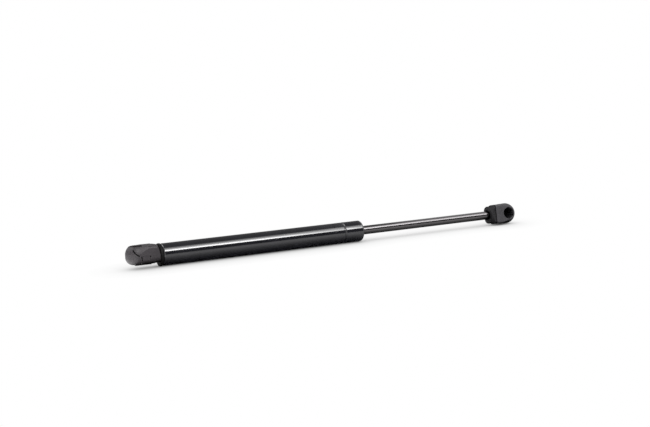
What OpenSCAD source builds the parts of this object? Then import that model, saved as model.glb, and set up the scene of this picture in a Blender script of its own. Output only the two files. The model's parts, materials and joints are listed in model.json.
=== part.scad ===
// Gas strut stay with a ball socket at each end.
// X runs along the strut from the base ball centre to the rod, Z points out of the base socket's mouth.
// The strut is drawn fully extended. All sizes are in millimetres.

/* [View] */
// Roundness of curved faces
facets = 72; // [32:4:120]

/* [Strut] */
// Travel of the rod from fully extended to fully pushed in
stroke = 130; // [80:1:200]
// Bare rod left between the tube and the rod socket when pushed in
parked_gap = 8.1; // [2:0.1:15]
// Tube length taken by the plug, the piston and the seal pack
dead_length = 60; // [56:1:80]
// Turn of the rod socket about the strut, from the base socket's direction
rod_socket_turn = 81; // [0:1:180]

/* [Pressure tube] */
// Outer diameter of the tube
tube_d = 19; // [18:0.5:22]
// Wall thickness of the tube
tube_wall = 1.2; // [1:0.1:1.4]
// Thickness of the rolled-in lip at each end
lip_t = 1.8; // [1.4:0.1:2.4]
// Shoulder radius at the base end
base_shoulder = 1.9; // [1:0.1:2.4]
// Shoulder radius at the rod end
rod_shoulder = 2.4; // [1:0.1:3]
// Inner radius of the lip at the base end
base_lip_r = 6.6; // [5.5:0.1:6.8]
// Inner radius of the lip at the rod end
rod_lip_r = 5; // [4.6:0.1:6]
// Distance of the rolled groove from the rod end
groove_back = 19.2; // [17:0.1:24]
// Depth of the rolled groove
groove_depth = 0.7; // [0.4:0.1:0.9]
// Radius of the groove's rolling wheel
groove_r = 1; // [0.8:0.1:1.4]

/* [Base plug] */
// Reach of the flange past the tube's outside
flange_over = 0.3; // [0:0.1:1.5]
// Flange thickness
flange_t = 2.2; // [2:0.1:5]
// Rounding of the flange rim
flange_round = 0.5; // [0.2:0.1:0.9]
// Length of the plug inside the tube
spigot_len = 9.5; // [8:0.1:12]
// Width of the seal groove
plug_groove_w = 2.8; // [2.4:0.1:3.2]
// Depth of the seal groove
plug_groove_depth = 1.9; // [1.6:0.1:2.1]
// Length of the stud inside the plug
stud_in_plug = 9; // [6:0.1:10]

/* [Rod] */
// Rod and stud diameter
rod_d = 8; // [7:0.5:8]
// Edge break on the rod and stud tips
tip_break = 0.6; // [0.2:0.1:1]

/* [Ball sockets] */
// Diameter of the ball stud that the sockets take
ball_d = 10; // [9:0.5:10]
// Radial clearance of the ball in its seat
ball_gap = 0.05; // [0.02:0.01:0.1]
// Height of the straight seat wall above the ball centre
seat_wall = 2; // [1.5:0.1:2.4]
// Extra radius of the mouth above the seat
mouth_extra = 0.3; // [0.25:0.05:0.5]
// Lead-in chamfer of the mouth
mouth_chamfer = 0.4; // [0.2:0.1:0.8]
// Reach of the mouth's lobes past the seat radius
lobe_reach = 0.75; // [0.5:0.05:1]
// Radius of each lobe
lobe_r = 1.3; // [0.8:0.1:1.6]
// Number of lobes around the mouth
lobe_count = 6; // [3:1:8]
// Width of the socket head
head_w = 19.4; // [17.8:0.1:21]
// Height of the socket face above the strut axis
face_z = 9.6; // [8.4:0.1:11]
// Depth of the socket back below the strut axis
back_z = 6; // [6:0.1:7.5]
// Fall of the face and back from the nose towards the collar, in degrees
face_tilt = 0.5; // [0:0.5:4]
// Draw-in of each flank towards the collar, in degrees
flank_taper = 2; // [0:0.5:6]
// Edge radius around the socket face
face_edge = 2; // [1:0.1:3.2]
// Edge radius around the socket back
back_round = 6.2; // [4:0.1:6.4]
// Radius of the flat rim on the nose
rim_r = 6.4; // [5.8:0.1:7]
// Height on the flank at which the nose rounds over to the rim
shoulder_z = 3.4; // [2.5:0.1:4.5]
// Growth of that rounding's radius from the nose to the collar
neck_extra = 4; // [1:0.1:6]
// Length of the raised face block behind the ball centre
block_len = 13.8; // [13:0.1:18]
// Length of the collar behind the block
collar_len = 4.6; // [2:0.1:6]
// Drop of the base socket's collar below its block's face, flanks and back
base_collar_drop = 0.3; // [0.2:0.1:1.4]
// Drop of the rod socket's collar below its block's face, flanks and back
rod_collar_drop = 0.8; // [0.2:0.1:1.4]
// Depth of the turned chamfer into the collar's flanks
collar_chamfer = 0.4; // [0.2:0.1:1.6]
// Radius of the recess around the rod past the rod's radius
recess_extra = 1.1; // [0.4:0.1:2]
// Depth of that recess
recess_depth = 1.2; // [0.4:0.1:2]
// Solid web between the ball seat and the threaded bore
bore_web = 3; // [2:0.1:4]

/* [Socket side details] */
// Thickness of the pad on the socket back
pad_t = 0.3; // [0.2:0.1:1]
// Length of the pad
pad_len = 14; // [10:0.5:15]
// Width of the pad
pad_w = 9; // [6:0.5:11]
// Start of the pad ahead of the ball centre
pad_ahead = 3; // [1:0.1:4]
// Width of the prying notch beside the pad
notch_w = 1.5; // [1:0.1:2]
// Depth of the prying notch
notch_depth = 0.9; // [0.5:0.1:1]
// Centre-line radius of the curved relief slit
slit_r = 7.9; // [6.5:0.1:8.6]
// Slit centre behind the ball centre
slit_x = 2.7; // [2:0.1:3]
// Slit centre above the face
slit_rise = 0; // [0:0.1:1]
// Start of the slit below its centre's level
slit_from = 16; // [10:1:20]
// Sweep of the relief slit
slit_sweep = 52; // [30:1:54]
// Width of the relief slit
slit_w = 1.1; // [0.8:0.1:1.4]
// Depth of the relief slit
slit_depth = 1.3; // [0.6:0.1:1.6]
// Length of the shallow side pocket
pocket_len = 7.2; // [5:0.1:9]
// Height of the shallow side pocket
pocket_h = 3.9; // [3:0.1:5]
// Drop of the pocket and the clip's window below the prong slot
pocket_drop = 1.3; // [0:0.1:2]
// Depth of the shallow side pocket
pocket_depth = 0.3; // [0.1:0.05:0.5]
// Diameter of the tooling hole at the pocket's corner
tool_hole_d = 1.3; // [0.8:0.1:1.6]
// Depth of the tooling hole
tool_hole_depth = 1.5; // [0.8:0.1:2]

/* [Retaining clips] */
// Wire diameter
wire_d = 0.9; // [0.7:0.1:1]
// Clearance of the wire in its channel
wire_gap = 0.1; // [0.08:0.01:0.15]
// Clip position behind the ball centre
clip_x = 1.6; // [1:0.1:2.5]
// Depth of the legs' centre below the flank
leg_depth = 2.2; // [1.8:0.1:2.4]
// Depth of the wire's centre below the socket back
wire_inset = 0.1; // [0:0.05:0.15]
// Bend radius at the prongs
prong_bend = 1; // [0.8:0.1:1.2]
// Bend radius between the legs and the back
back_bend = 2.6; // [1.5:0.1:3]
// Overlap of each prong over the ball's edge
prong_hold = 0.45; // [0.2:0.05:0.7]
// Rise of the prongs above the seat wall
prong_lift = 0.1; // [0.05:0.05:0.2]
// Travel that frees the ball
clip_travel = 3.3; // [3.2:0.1:4]

/* [Seal pack] */
// Thickness of the steel washer behind the groove
washer_t = 1.5; // [1:0.1:2.5]
// Length of the rod seal
seal_len = 6; // [5:0.1:7]
// Wall thickness of the seal lips
seal_lip = 0.9; // [0.6:0.1:1.2]
// Depth of the fold between the seal lips
seal_fold = 3.4; // [2:0.1:4]
// Wall thickness of the guide bush
bush_wall = 0.9; // [0.6:0.1:1.4]
// Thickness of the closing washer
closing_t = 1.3; // [1:0.1:2]

/* [Piston] */
// Length of the piston
piston_len = 7; // [6:0.1:9]
// Width of the piston ring
ring_w = 2.4; // [1.6:0.1:3]
// Radial thickness of the piston ring
ring_t = 1.5; // [1:0.1:2]
// Diameter of the rod's piston seat
seat_d = 5; // [4:0.1:5.5]
// Thickness of the support washer
support_t = 1.5; // [1:0.1:2.5]
// Thickness of the metering disc
disc_t = 0.8; // [0.5:0.1:1.2]
// Height of the piston nut
nut_h = 3; // [2.5:0.1:4]
// Width of the piston nut across its flats
nut_af = 8; // [7:0.1:9]
// Length of the stop sleeve
stop_len = 5; // [3:0.1:6]
// Diameter of the metering holes
meter_hole_d = 1.2; // [0.8:0.1:1.5]
// Number of metering holes
meter_holes = 4; // [3:1:6]

/* [Fits] */
// Radial clearance of running fits
run_gap = 0.05; // [0.03:0.01:0.08]
// Radial clearance of assembled fits
set_gap = 0.04; // [0.02:0.01:0.08]
// Axial gap between stacked pieces
stack_gap = 0.05; // [0.02:0.01:0.1]
// Radial clearance around loose washers
loose_gap = 0.3; // [0.2:0.05:0.5]

/* [Hidden] */
$fn = facets;
over = 1;
tube_r = tube_d / 2;
tube_bore_r = tube_r - tube_wall;
flange_r = tube_r + flange_over;
rod_r = rod_d / 2;
tube_len = stroke + dead_length;
socket_len = block_len + collar_len;
bar_len = socket_len + 2 * over;
tube_x0 = socket_len + flange_t;
tube_x1 = tube_x0 + tube_len;
ball_spacing = tube_x1 + stroke + parked_gap + socket_len;
groove_x = tube_x1 - groove_back;
bead_half = sqrt(groove_r * groove_r - pow(groove_r - groove_depth, 2));
plug_x1 = tube_x0 + spigot_len;
pack_x0 = groove_x + bead_half + stack_gap;
pack_x1 = tube_x1 - lip_t - stack_gap;
seal_x0 = pack_x0 + washer_t + stack_gap;
guide_x0 = seal_x0 + seal_len + stack_gap;
closing_x0 = pack_x1 - closing_t;
guide_len = closing_x0 - stack_gap - guide_x0;
stop_x1 = pack_x0 - stack_gap;
shoulder_x = stop_x1 - stop_len;
support_x0 = shoulder_x - stack_gap - support_t;
piston_x0 = support_x0 - stack_gap - piston_len;
disc_x0 = piston_x0 - stack_gap - disc_t;
nut_x0 = disc_x0 - stack_gap - nut_h;
ring_x0 = piston_x0 + (piston_len - ring_w) / 2;
ring_r = tube_bore_r - run_gap;
ring_groove_r = ring_r - ring_t - run_gap;
pack_r = tube_bore_r - set_gap;
seat_r = seat_d / 2;
ball_seat_r = ball_d / 2 + ball_gap;
mouth_r = ball_seat_r + mouth_extra;
head_r = head_w / 2;
collar_in = socket_len * tan(flank_taper) + collar_chamfer;
nose_rise = face_z - shoulder_z;
nose_z = (face_z + shoulder_z) / 2 + (pow(rim_r, 2) - pow(head_r, 2)) / (2 * nose_rise);
nose_r = sqrt(pow(rim_r, 2) + pow(face_z - nose_z, 2));
bore_x0 = ball_seat_r + bore_web;
wire_r = wire_d / 2;
prong_z = seat_wall + prong_lift + wire_r;
wire_room = wire_r + wire_gap;
slot_top = prong_z + wire_room;
pocket_top = slot_top - pocket_drop;
leg_y = head_r - leg_depth;
turn_y = leg_y - back_bend;
base_z = wire_inset - back_z;
turn_z = base_z + back_bend;
chord_y = sqrt(pow(ball_d / 2, 2) - clip_x * clip_x);
prong_y = chord_y - prong_hold;

// Rolls an outline drawn as radius and distance into a body around the strut axis.
module turned() {
    rotate([0, 90, 0])
        rotate_extrude()
            children();
}

// Ring around the strut axis, with its inner and outer radius.
module ring(x0, len, inner_r, outer_r) {
    turned()
        translate([inner_r, x0])
            square([outer_r - inner_r, len]);
}

// Quarter of a round corner, standing in the first quadrant.
module quarter(r) {
    intersection() {
        circle(r = r);
        square(r);
    }
}

// Right half of a socket's cross-section, with rounded face and back edges.
module half_section(half_w, top, bottom, edge_r, round_r) {
    translate([0, bottom + round_r])
        square([half_w, top - edge_r - bottom - round_r]);
    translate([0, top - edge_r])
        square([half_w - edge_r, edge_r]);
    translate([half_w - edge_r, top - edge_r])
        quarter(edge_r);
    translate([0, bottom])
        square([half_w - round_r, round_r]);
    translate([half_w - round_r, bottom + round_r])
        mirror([0, 1])
            quarter(round_r);
}

// Room for one side of the block and collar, with the nose's rounding run out along its face edge.
module edge_rounding() {
    translate([0, 0, nose_z])
        rotate([0, 90, 0])
            cylinder(r1 = nose_r, r2 = nose_r + neck_extra, h = bar_len);
    translate([0, -head_w, nose_z - head_w])
        cube([bar_len, 2 * head_w, head_w]);
}

// Socket's cross-section swept towards the collar on tapering flanks, drawn in by a drop.
module section_bar(x0, x1, drop) {
    half_w = head_r - drop;
    top = face_z - drop;
    rotate([0, face_tilt, 0])
        intersection() {
            for (side = [0, 1])
                mirror([0, side, 0])
                    rotate([0, 0, -flank_taper])
                        intersection() {
                            rotate([90, 0, 90])
                                linear_extrude(height = bar_len)
                                    half_section(half_w, top, drop - back_z, face_edge, back_round - drop);
                            edge_rounding();
                        }
            translate([x0, -head_w, -head_w])
                cube([x1 - x0, 2 * head_w, 2 * head_w]);
        }
}

// Round head in front of the ball centre, drawn in by an inset.
module socket_nose(inset) {
    rotate([0, face_tilt, 0])
        rotate([0, 0, 90 - flank_taper])
            rotate_extrude(angle = 180 + 2 * flank_taper)
                intersection() {
                    half_section(head_r - inset, face_z, inset - back_z, face_edge, back_round - inset);
                    union() {
                        translate([0, nose_z])
                            circle(r = nose_r - inset);
                        translate([0, nose_z - head_w])
                            square(head_w);
                    }
                }
}

// Nose, raised block, chamfered collar with its drop and back pad, before any hollow is cut.
module socket_blank(drop) {
    collar_end_r = (head_r - drop) / cos(flank_taper) - collar_in;
    socket_nose(0);
    intersection() {
        union() {
            section_bar(0, block_len, 0);
            section_bar(block_len - over, socket_len + over, drop);
        }
        turned()
            polygon([
                [0, -over],
                [head_w, -over],
                [head_w, socket_len + collar_end_r - head_w],
                [collar_end_r, socket_len],
                [0, socket_len]
            ]);
    }
    rotate([0, face_tilt, 0])
        translate([-pad_ahead, -pad_w / 2, -back_z - pad_t])
            cube([pad_len, pad_w, pad_t + over]);
}

// Ball seat, straight wall and lobed mouth.
module ball_hollow() {
    rotate_extrude() {
        mirror([0, 1])
            quarter(ball_seat_r);
        square([ball_seat_r, seat_wall]);
        translate([0, seat_wall])
            square([mouth_r, face_z + over - seat_wall]);
        polygon([
            [0, face_z - mouth_chamfer],
            [mouth_r, face_z - mouth_chamfer],
            [mouth_r + mouth_chamfer + over, face_z + over],
            [0, face_z + over]
        ]);
    }
    for (i = [0 : lobe_count - 1])
        rotate([0, 0, (i + 0.5) * 360 / lobe_count])
            translate([ball_seat_r + lobe_reach - lobe_r, 0, slot_top])
                cylinder(r = lobe_r, h = face_z);
}

// One side of the clip's channel: prong slot, leg slot, flank window and the bend to the back.
module channel_side() {
    low = prong_z - clip_travel - wire_room;
    back_low = -back_z - pad_t - over;
    translate([-wire_room, prong_y - over, low])
        cube([2 * wire_room, leg_y + over - prong_y, slot_top - low]);
    translate([-wire_room, leg_y - wire_room, turn_z])
        cube([2 * wire_room, 2 * wire_room, slot_top - turn_z]);
    translate([-wire_room, leg_y, pocket_top - pocket_h])
        cube([2 * wire_room, head_r + over - leg_y, pocket_h]);
    difference() {
        translate([-wire_room, 0, back_low])
            cube([2 * wire_room, leg_y + wire_room, turn_z - back_low]);
        translate([-over, -over, base_z + wire_room])
            cube([2 * over, turn_y + over, back_bend]);
        translate([-over, turn_y, turn_z])
            rotate([0, 90, 0])
                cylinder(r = back_bend - wire_room, h = 2 * over);
    }
}

// Curved relief slit, shallow pocket and tooling hole on one flank.
module flank_details() {
    difference() {
        translate([slit_x, 0, face_z + slit_rise])
            rotate([90, 0, 0])
                rotate([0, 0, 180 + slit_from])
                    rotate_extrude(angle = slit_sweep)
                        translate([slit_r - slit_w / 2, 0])
                            square([slit_w, head_w]);
        socket_nose(slit_depth);
    }
    rotate([0, 0, flank_taper]) {
        translate([clip_x, -head_r - over, pocket_top - pocket_h])
            cube([pocket_len, over + pocket_depth, pocket_h]);
        translate([clip_x + pocket_len, -head_r - over, pocket_top - tool_hole_d / 2])
            rotate([-90, 0, 0])
                cylinder(d = tool_hole_d, h = over + tool_hole_depth);
    }
}

// Complete ball socket at the origin, with its bore along X, its mouth along Z and its collar's drop.
module ball_socket(drop) {
    difference() {
        socket_blank(drop);
        ball_hollow();
        for (side = [0, 1])
            mirror([0, side, 0]) {
                translate([clip_x, 0, 0])
                    channel_side();
                flank_details();
            }
        translate([-pad_ahead - notch_w, -head_r, -back_z - over])
            cube([notch_w, head_w, over + notch_depth]);
        translate([bore_x0, 0, 0])
            rotate([0, 90, 0])
                cylinder(r = rod_r + set_gap, h = socket_len);
        translate([socket_len - recess_depth, 0, 0])
            rotate([0, 90, 0])
                cylinder(r = rod_r + recess_extra, h = socket_len);
    }
}

// Round wire bent through a quarter turn from the Y direction towards Z.
module wire_bend(bend_r) {
    rotate([90, 0, 90])
        rotate_extrude(angle = 90)
            translate([bend_r, 0])
                circle(r = wire_r);
}

// One side of a clip: prong, bend, leg and the bend to the back.
module clip_side() {
    leg_top = prong_z - prong_bend;
    translate([clip_x, prong_y, prong_z])
        rotate([-90, 0, 0])
            cylinder(r = wire_r, h = leg_y - prong_bend - prong_y);
    translate([clip_x, leg_y - prong_bend, leg_top])
        wire_bend(prong_bend);
    translate([clip_x, leg_y, turn_z])
        cylinder(r = wire_r, h = leg_top - turn_z);
    translate([clip_x, turn_y, turn_z])
        mirror([0, 0, 1])
            wire_bend(back_bend);
}

// Wire clip that holds a ball in its socket.
module wire_clip() {
    for (side = [0, 1])
        mirror([0, side, 0])
            clip_side();
    translate([clip_x, -turn_y, base_z])
        rotate([-90, 0, 0])
            cylinder(r = wire_r, h = 2 * turn_y);
}

// Places a socket piece at the rod end, facing back along the strut.
module at_rod_end() {
    translate([ball_spacing, 0, 0])
        rotate([rod_socket_turn, 0, 0])
            rotate([0, 0, 180])
                children();
}

// Outline of the tube's outside, closed down to the axis.
module tube_outside() {
    translate([0, tube_x0 + base_shoulder])
        square([tube_r, tube_len - base_shoulder - rod_shoulder]);
    translate([0, tube_x0])
        square([tube_r - base_shoulder, base_shoulder]);
    translate([tube_r - base_shoulder, tube_x0 + base_shoulder])
        mirror([0, 1])
            quarter(base_shoulder);
    translate([0, tube_x1 - rod_shoulder])
        square([tube_r - rod_shoulder, rod_shoulder]);
    translate([tube_r - rod_shoulder, tube_x1 - rod_shoulder])
        quarter(rod_shoulder);
}

module pressure_tube() {
    color([0.10, 0.10, 0.11])
        turned()
            difference() {
                tube_outside();
                difference() {
                    translate([0, tube_x0 + lip_t])
                        square([tube_bore_r, tube_len - 2 * lip_t]);
                    translate([tube_bore_r + groove_r - groove_depth, groove_x])
                        circle(r = groove_r);
                }
                translate([tube_r + groove_r - groove_depth, groove_x])
                    circle(r = groove_r);
                translate([0, tube_x0 - over])
                    square([base_lip_r, lip_t + 2 * over]);
                translate([0, tube_x1 - lip_t - over])
                    square([rod_lip_r, lip_t + 2 * over]);
            }
}

module base_plug() {
    groove_x0 = plug_x1 - 2 * plug_groove_w;
    color([0.07, 0.07, 0.08])
        turned()
            difference() {
                union() {
                    translate([0, socket_len + flange_round])
                        square([flange_r, flange_t - 2 * flange_round]);
                    translate([0, socket_len])
                        square([flange_r - flange_round, flange_t]);
                    translate([flange_r - flange_round, socket_len + flange_round])
                        mirror([0, 1])
                            quarter(flange_round);
                    translate([flange_r - flange_round, tube_x0 - flange_round])
                        quarter(flange_round);
                    translate([0, tube_x0 - over])
                        square([base_lip_r - loose_gap, lip_t + 2 * over]);
                    translate([0, tube_x0 + lip_t + stack_gap])
                        square([pack_r, spigot_len - lip_t - stack_gap]);
                }
                translate([pack_r - plug_groove_depth, groove_x0])
                    square([plug_groove_depth + over, plug_groove_w]);
                translate([0, socket_len - over])
                    square([rod_r + set_gap, stud_in_plug + over]);
            }
}

module base_plug_seal() {
    cord_r = (plug_groove_depth - 2 * stack_gap) / 2;
    color([0.05, 0.05, 0.05])
        turned()
            translate([pack_r - stack_gap - cord_r, plug_x1 - 1.5 * plug_groove_w])
                circle(r = cord_r);
}

module base_stud() {
    stud_x1 = socket_len + stud_in_plug - stack_gap;
    color([0.62, 0.62, 0.60])
        turned()
            polygon([
                [0, bore_x0 + stack_gap],
                [rod_r - tip_break, bore_x0 + stack_gap],
                [rod_r, bore_x0 + stack_gap + tip_break],
                [rod_r, stud_x1 - tip_break],
                [rod_r - tip_break, stud_x1],
                [0, stud_x1]
            ]);
}

module base_socket() {
    color([0.13, 0.12, 0.13])
        ball_socket(base_collar_drop);
}

module base_clip() {
    color([0.25, 0.25, 0.26])
        wire_clip();
}

module seal_washer() {
    color([0.66, 0.66, 0.64])
        ring(pack_x0, washer_t, rod_r + loose_gap, pack_r);
}

module rod_seal() {
    inner_r = rod_r + set_gap;
    color([0.06, 0.06, 0.06])
        turned()
            difference() {
                translate([inner_r, seal_x0])
                    square([pack_r - inner_r, seal_len]);
                translate([inner_r + seal_lip, seal_x0 - over])
                    square([pack_r - inner_r - 2 * seal_lip, seal_fold + over]);
            }
}

module rod_guide() {
    color([0.30, 0.30, 0.31])
        ring(guide_x0, guide_len, rod_r + run_gap + bush_wall + set_gap, pack_r);
}

module guide_bush() {
    color([0.70, 0.55, 0.30])
        ring(guide_x0, guide_len, rod_r + run_gap, rod_r + run_gap + bush_wall);
}

module closing_washer() {
    color([0.66, 0.66, 0.64])
        ring(closing_x0, closing_t, rod_r + loose_gap, pack_r);
}

module piston_ring() {
    color([0.85, 0.84, 0.80])
        ring(ring_x0, ring_w, ring_groove_r + run_gap, ring_r);
}

module piston_rod() {
    rod_x1 = ball_spacing - bore_x0 - stack_gap;
    color([0.32, 0.31, 0.30])
        turned()
            polygon([
                [0, nut_x0],
                [seat_r - tip_break, nut_x0],
                [seat_r, nut_x0 + tip_break],
                [seat_r, shoulder_x],
                [rod_r, shoulder_x],
                [rod_r, rod_x1 - tip_break],
                [rod_r - tip_break, rod_x1],
                [0, rod_x1]
            ]);
}

module stop_sleeve() {
    color([0.20, 0.20, 0.20])
        ring(shoulder_x + stack_gap, stop_len - stack_gap, rod_r + set_gap, (rod_r + tube_bore_r) / 2);
}

module support_washer() {
    color([0.66, 0.66, 0.64])
        ring(support_x0, support_t, seat_r + set_gap, ring_groove_r);
}

module piston() {
    hole_pitch_r = (seat_r + ring_groove_r) / 2;
    color([0.55, 0.55, 0.56])
        difference() {
            ring(piston_x0, piston_len, seat_r + set_gap, tube_bore_r - loose_gap);
            ring(ring_x0 - stack_gap, ring_w + 2 * stack_gap, ring_groove_r, tube_r);
            for (i = [0 : meter_holes - 1])
                rotate([i * 360 / meter_holes, 0, 0])
                    translate([piston_x0 - over, 0, hole_pitch_r])
                        rotate([0, 90, 0])
                            cylinder(d = meter_hole_d, h = piston_len + 2 * over);
        }
}

module metering_disc() {
    color([0.66, 0.66, 0.64])
        difference() {
            ring(disc_x0, disc_t, seat_r + set_gap, ring_groove_r);
            translate([disc_x0 - over, -meter_hole_d / 2, seat_r + meter_hole_d])
                cube([disc_t + 2 * over, meter_hole_d, tube_r]);
        }
}

module piston_nut() {
    color([0.60, 0.60, 0.58])
        difference() {
            translate([nut_x0, 0, 0])
                rotate([0, 90, 0])
                    cylinder(d = nut_af / cos(30), h = nut_h, $fn = 6);
            translate([nut_x0 - over, 0, 0])
                rotate([0, 90, 0])
                    cylinder(r = seat_r + set_gap, h = nut_h + 2 * over);
        }
}

module rod_socket() {
    color([0.13, 0.12, 0.13])
        at_rod_end()
            ball_socket(rod_collar_drop);
}

module rod_clip() {
    color([0.25, 0.25, 0.26])
        at_rod_end()
            wire_clip();
}

pressure_tube();
base_plug();
base_plug_seal();
base_stud();
base_socket();
base_clip();
seal_washer();
rod_seal();
rod_guide();
guide_bush();
closing_washer();
piston_ring();
piston_rod();
stop_sleeve();
support_washer();
piston();
metering_disc();
piston_nut();
rod_socket();
rod_clip();
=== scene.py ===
"""Looks of a gas strut stay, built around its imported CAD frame."""

import json
import logging
import math
from dataclasses import dataclass
from enum import Enum
from typing import Optional, Sequence

import bpy
import numpy as np
from mathutils import Matrix, Vector


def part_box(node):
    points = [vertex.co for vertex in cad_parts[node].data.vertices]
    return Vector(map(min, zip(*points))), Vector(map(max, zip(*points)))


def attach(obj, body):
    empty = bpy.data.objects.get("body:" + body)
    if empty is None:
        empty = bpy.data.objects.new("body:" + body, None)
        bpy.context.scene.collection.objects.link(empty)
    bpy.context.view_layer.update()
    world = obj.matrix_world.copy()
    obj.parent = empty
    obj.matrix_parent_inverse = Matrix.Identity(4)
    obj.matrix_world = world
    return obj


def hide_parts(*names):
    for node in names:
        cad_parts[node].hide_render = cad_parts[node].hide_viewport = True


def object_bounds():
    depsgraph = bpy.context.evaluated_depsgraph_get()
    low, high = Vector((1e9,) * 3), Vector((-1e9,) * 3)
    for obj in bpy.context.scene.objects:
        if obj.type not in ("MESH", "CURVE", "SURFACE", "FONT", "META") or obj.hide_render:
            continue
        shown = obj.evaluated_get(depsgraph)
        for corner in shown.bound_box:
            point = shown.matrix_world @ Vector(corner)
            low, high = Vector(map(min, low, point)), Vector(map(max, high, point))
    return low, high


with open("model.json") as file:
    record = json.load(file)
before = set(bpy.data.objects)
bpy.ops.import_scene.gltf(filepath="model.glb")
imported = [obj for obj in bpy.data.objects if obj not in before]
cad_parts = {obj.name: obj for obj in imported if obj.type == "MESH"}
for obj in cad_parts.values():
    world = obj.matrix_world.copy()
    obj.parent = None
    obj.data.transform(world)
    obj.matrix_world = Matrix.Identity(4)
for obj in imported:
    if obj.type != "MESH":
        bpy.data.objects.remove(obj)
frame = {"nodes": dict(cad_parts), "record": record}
CAD_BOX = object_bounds()

MM = 0.001
TAU = 2.0 * math.pi
PHOTO_WIDTH = 650
LOG = logging.getLogger("gas_strut_stay")
CREST_FLAT = 0.12
FLANK_SHARE = 0.68
THREAD_FADE = 0.5
SMOOTH_DEGREES = 35.0

Triple = tuple[float, float, float]
Colour = Triple
Span = tuple[float, float]


class Body(str, Enum):
    """Rigid bodies of the strut."""

    CYLINDER = "cylinder"
    ROD = "rod"


class Slot(str, Enum):
    """Material slots named in the record."""

    TUBE_PAINT = "tube_paint"
    PLUG_BLACK = "plug_black"
    RUBBER_BLACK = "rubber_black"
    PLATED_STEEL = "plated_steel"
    SOCKET_PLASTIC = "socket_plastic"
    SPRING_STEEL = "spring_steel"
    GUIDE_PLASTIC = "guide_plastic"
    BUSH_BRONZE = "bush_bronze"
    RING_PLASTIC = "ring_plastic"
    ROD_STEEL = "rod_steel"
    PISTON_ALLOY = "piston_alloy"


class Effect(str, Enum):
    """Shared shader node groups."""

    GRAIN = "fine_grain"
    MOTTLE = "soft_mottle"
    EDGE_WEAR = "edge_wear"
    CREVICE = "hollow_shade"
    TURNING = "turning_lines"
    SCRATCHES = "handling_scratches"


class Sheet:
    """Adds nodes and links to one shader tree in few words."""

    def __init__(self, tree: bpy.types.NodeTree) -> None:
        """Keeps the node tree of a material, a world or a group."""
        self.tree = tree

    def add(self, kind: str, **settings: object) -> bpy.types.Node:
        """Adds a node and sets its properties.

        Args:
            kind: Blender's node type name.
            settings: Node properties by name.

        Returns:
            The new node.
        """
        node = self.tree.nodes.new(kind)
        for key, value in settings.items():
            setattr(node, key, value)
        return node

    def feed(self, value: object, socket: bpy.types.NodeSocket) -> None:
        """Links an output socket to an input, or sets a plain value on it.

        Args:
            value: An output socket, a number or a tuple.
            socket: The input socket.
        """
        if isinstance(value, bpy.types.NodeSocket):
            self.tree.links.new(value, socket)
        else:
            socket.default_value = value

    def math(self, operation: str, first: object, second: object = 0.0,
             clamp: bool = False) -> bpy.types.NodeSocket:
        """Adds a Math node.

        Args:
            operation: Blender's operation name.
            first: First operand, a socket or a number.
            second: Second operand, a socket or a number.
            clamp: Whether the result is held between 0 and 1.

        Returns:
            The node's output.
        """
        node = self.add("ShaderNodeMath", operation=operation, use_clamp=clamp)
        self.feed(first, node.inputs[0])
        self.feed(second, node.inputs[1])
        return node.outputs[0]

    def times(self, value: object, factor: object) -> bpy.types.NodeSocket:
        """Multiplies two values, each a socket or a number."""
        return self.math("MULTIPLY", value, factor)

    def span(self, value: object, low: float, high: float, to_low: float = 0.0,
             to_high: float = 1.0) -> bpy.types.NodeSocket:
        """Maps a range of values to another one, clamped.

        Args:
            value: The socket to map.
            low: Value that becomes to_low.
            high: Value that becomes to_high.
            to_low: Result at low.
            to_high: Result at high.

        Returns:
            The mapped socket.
        """
        node = self.add("ShaderNodeMapRange", interpolation_type="SMOOTHSTEP")
        for place, item in enumerate((value, low, high, to_low, to_high)):
            self.feed(item, node.inputs[place])
        return node.outputs[0]

    def blend(self, factor: object, first: object, second: object) -> bpy.types.NodeSocket:
        """Mixes two colours.

        Args:
            factor: Share of the second colour.
            first: First colour, a socket or a colour.
            second: Second colour, a socket or a colour.

        Returns:
            The mixed colour.
        """
        node = self.add("ShaderNodeMix", data_type="RGBA")
        self.feed(factor, node.inputs["Factor"])
        for name, colour in (("A", first), ("B", second)):
            socket = next(s for s in node.inputs if s.name == name and s.type == "RGBA")
            linked = isinstance(colour, bpy.types.NodeSocket)
            self.feed(colour if linked else (*colour, 1.0), socket)
        return next(s for s in node.outputs if s.type == "RGBA")

    def noise(self, vector: object, scale: object, detail: float = 2.0,
              roughness: float = 0.5) -> bpy.types.NodeSocket:
        """Adds a noise texture.

        Args:
            vector: Coordinates.
            scale: Waves per metre.
            detail: Octaves.
            roughness: Share of each finer octave.

        Returns:
            The noise value, around 0.5.
        """
        node = self.add("ShaderNodeTexNoise")
        self.feed(vector, node.inputs["Vector"])
        self.feed(scale, node.inputs["Scale"])
        node.inputs["Detail"].default_value = detail
        node.inputs["Roughness"].default_value = roughness
        return node.outputs[0]

    def stretched(self, vector: object, factors: Sequence[float],
                  turn: Sequence[float] = (0.0, 0.0, 0.0)) -> bpy.types.NodeSocket:
        """Scales and turns coordinates with a Mapping node.

        Args:
            vector: Coordinates.
            factors: Scale on each axis.
            turn: Turn about each axis in radians.

        Returns:
            The mapped coordinates.
        """
        node = self.add("ShaderNodeMapping")
        self.feed(vector, node.inputs["Vector"])
        node.inputs["Rotation"].default_value = turn
        node.inputs["Scale"].default_value = factors
        return node.outputs[0]

    def place(self) -> bpy.types.NodeSocket:
        """Adds the object's own coordinates, in metres."""
        return self.add("ShaderNodeTexCoord").outputs["Object"]

    def show(self, shader: bpy.types.NodeSocket) -> None:
        """Leads a shader to a new material output."""
        self.feed(shader, self.add("ShaderNodeOutputMaterial").inputs["Surface"])


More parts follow.
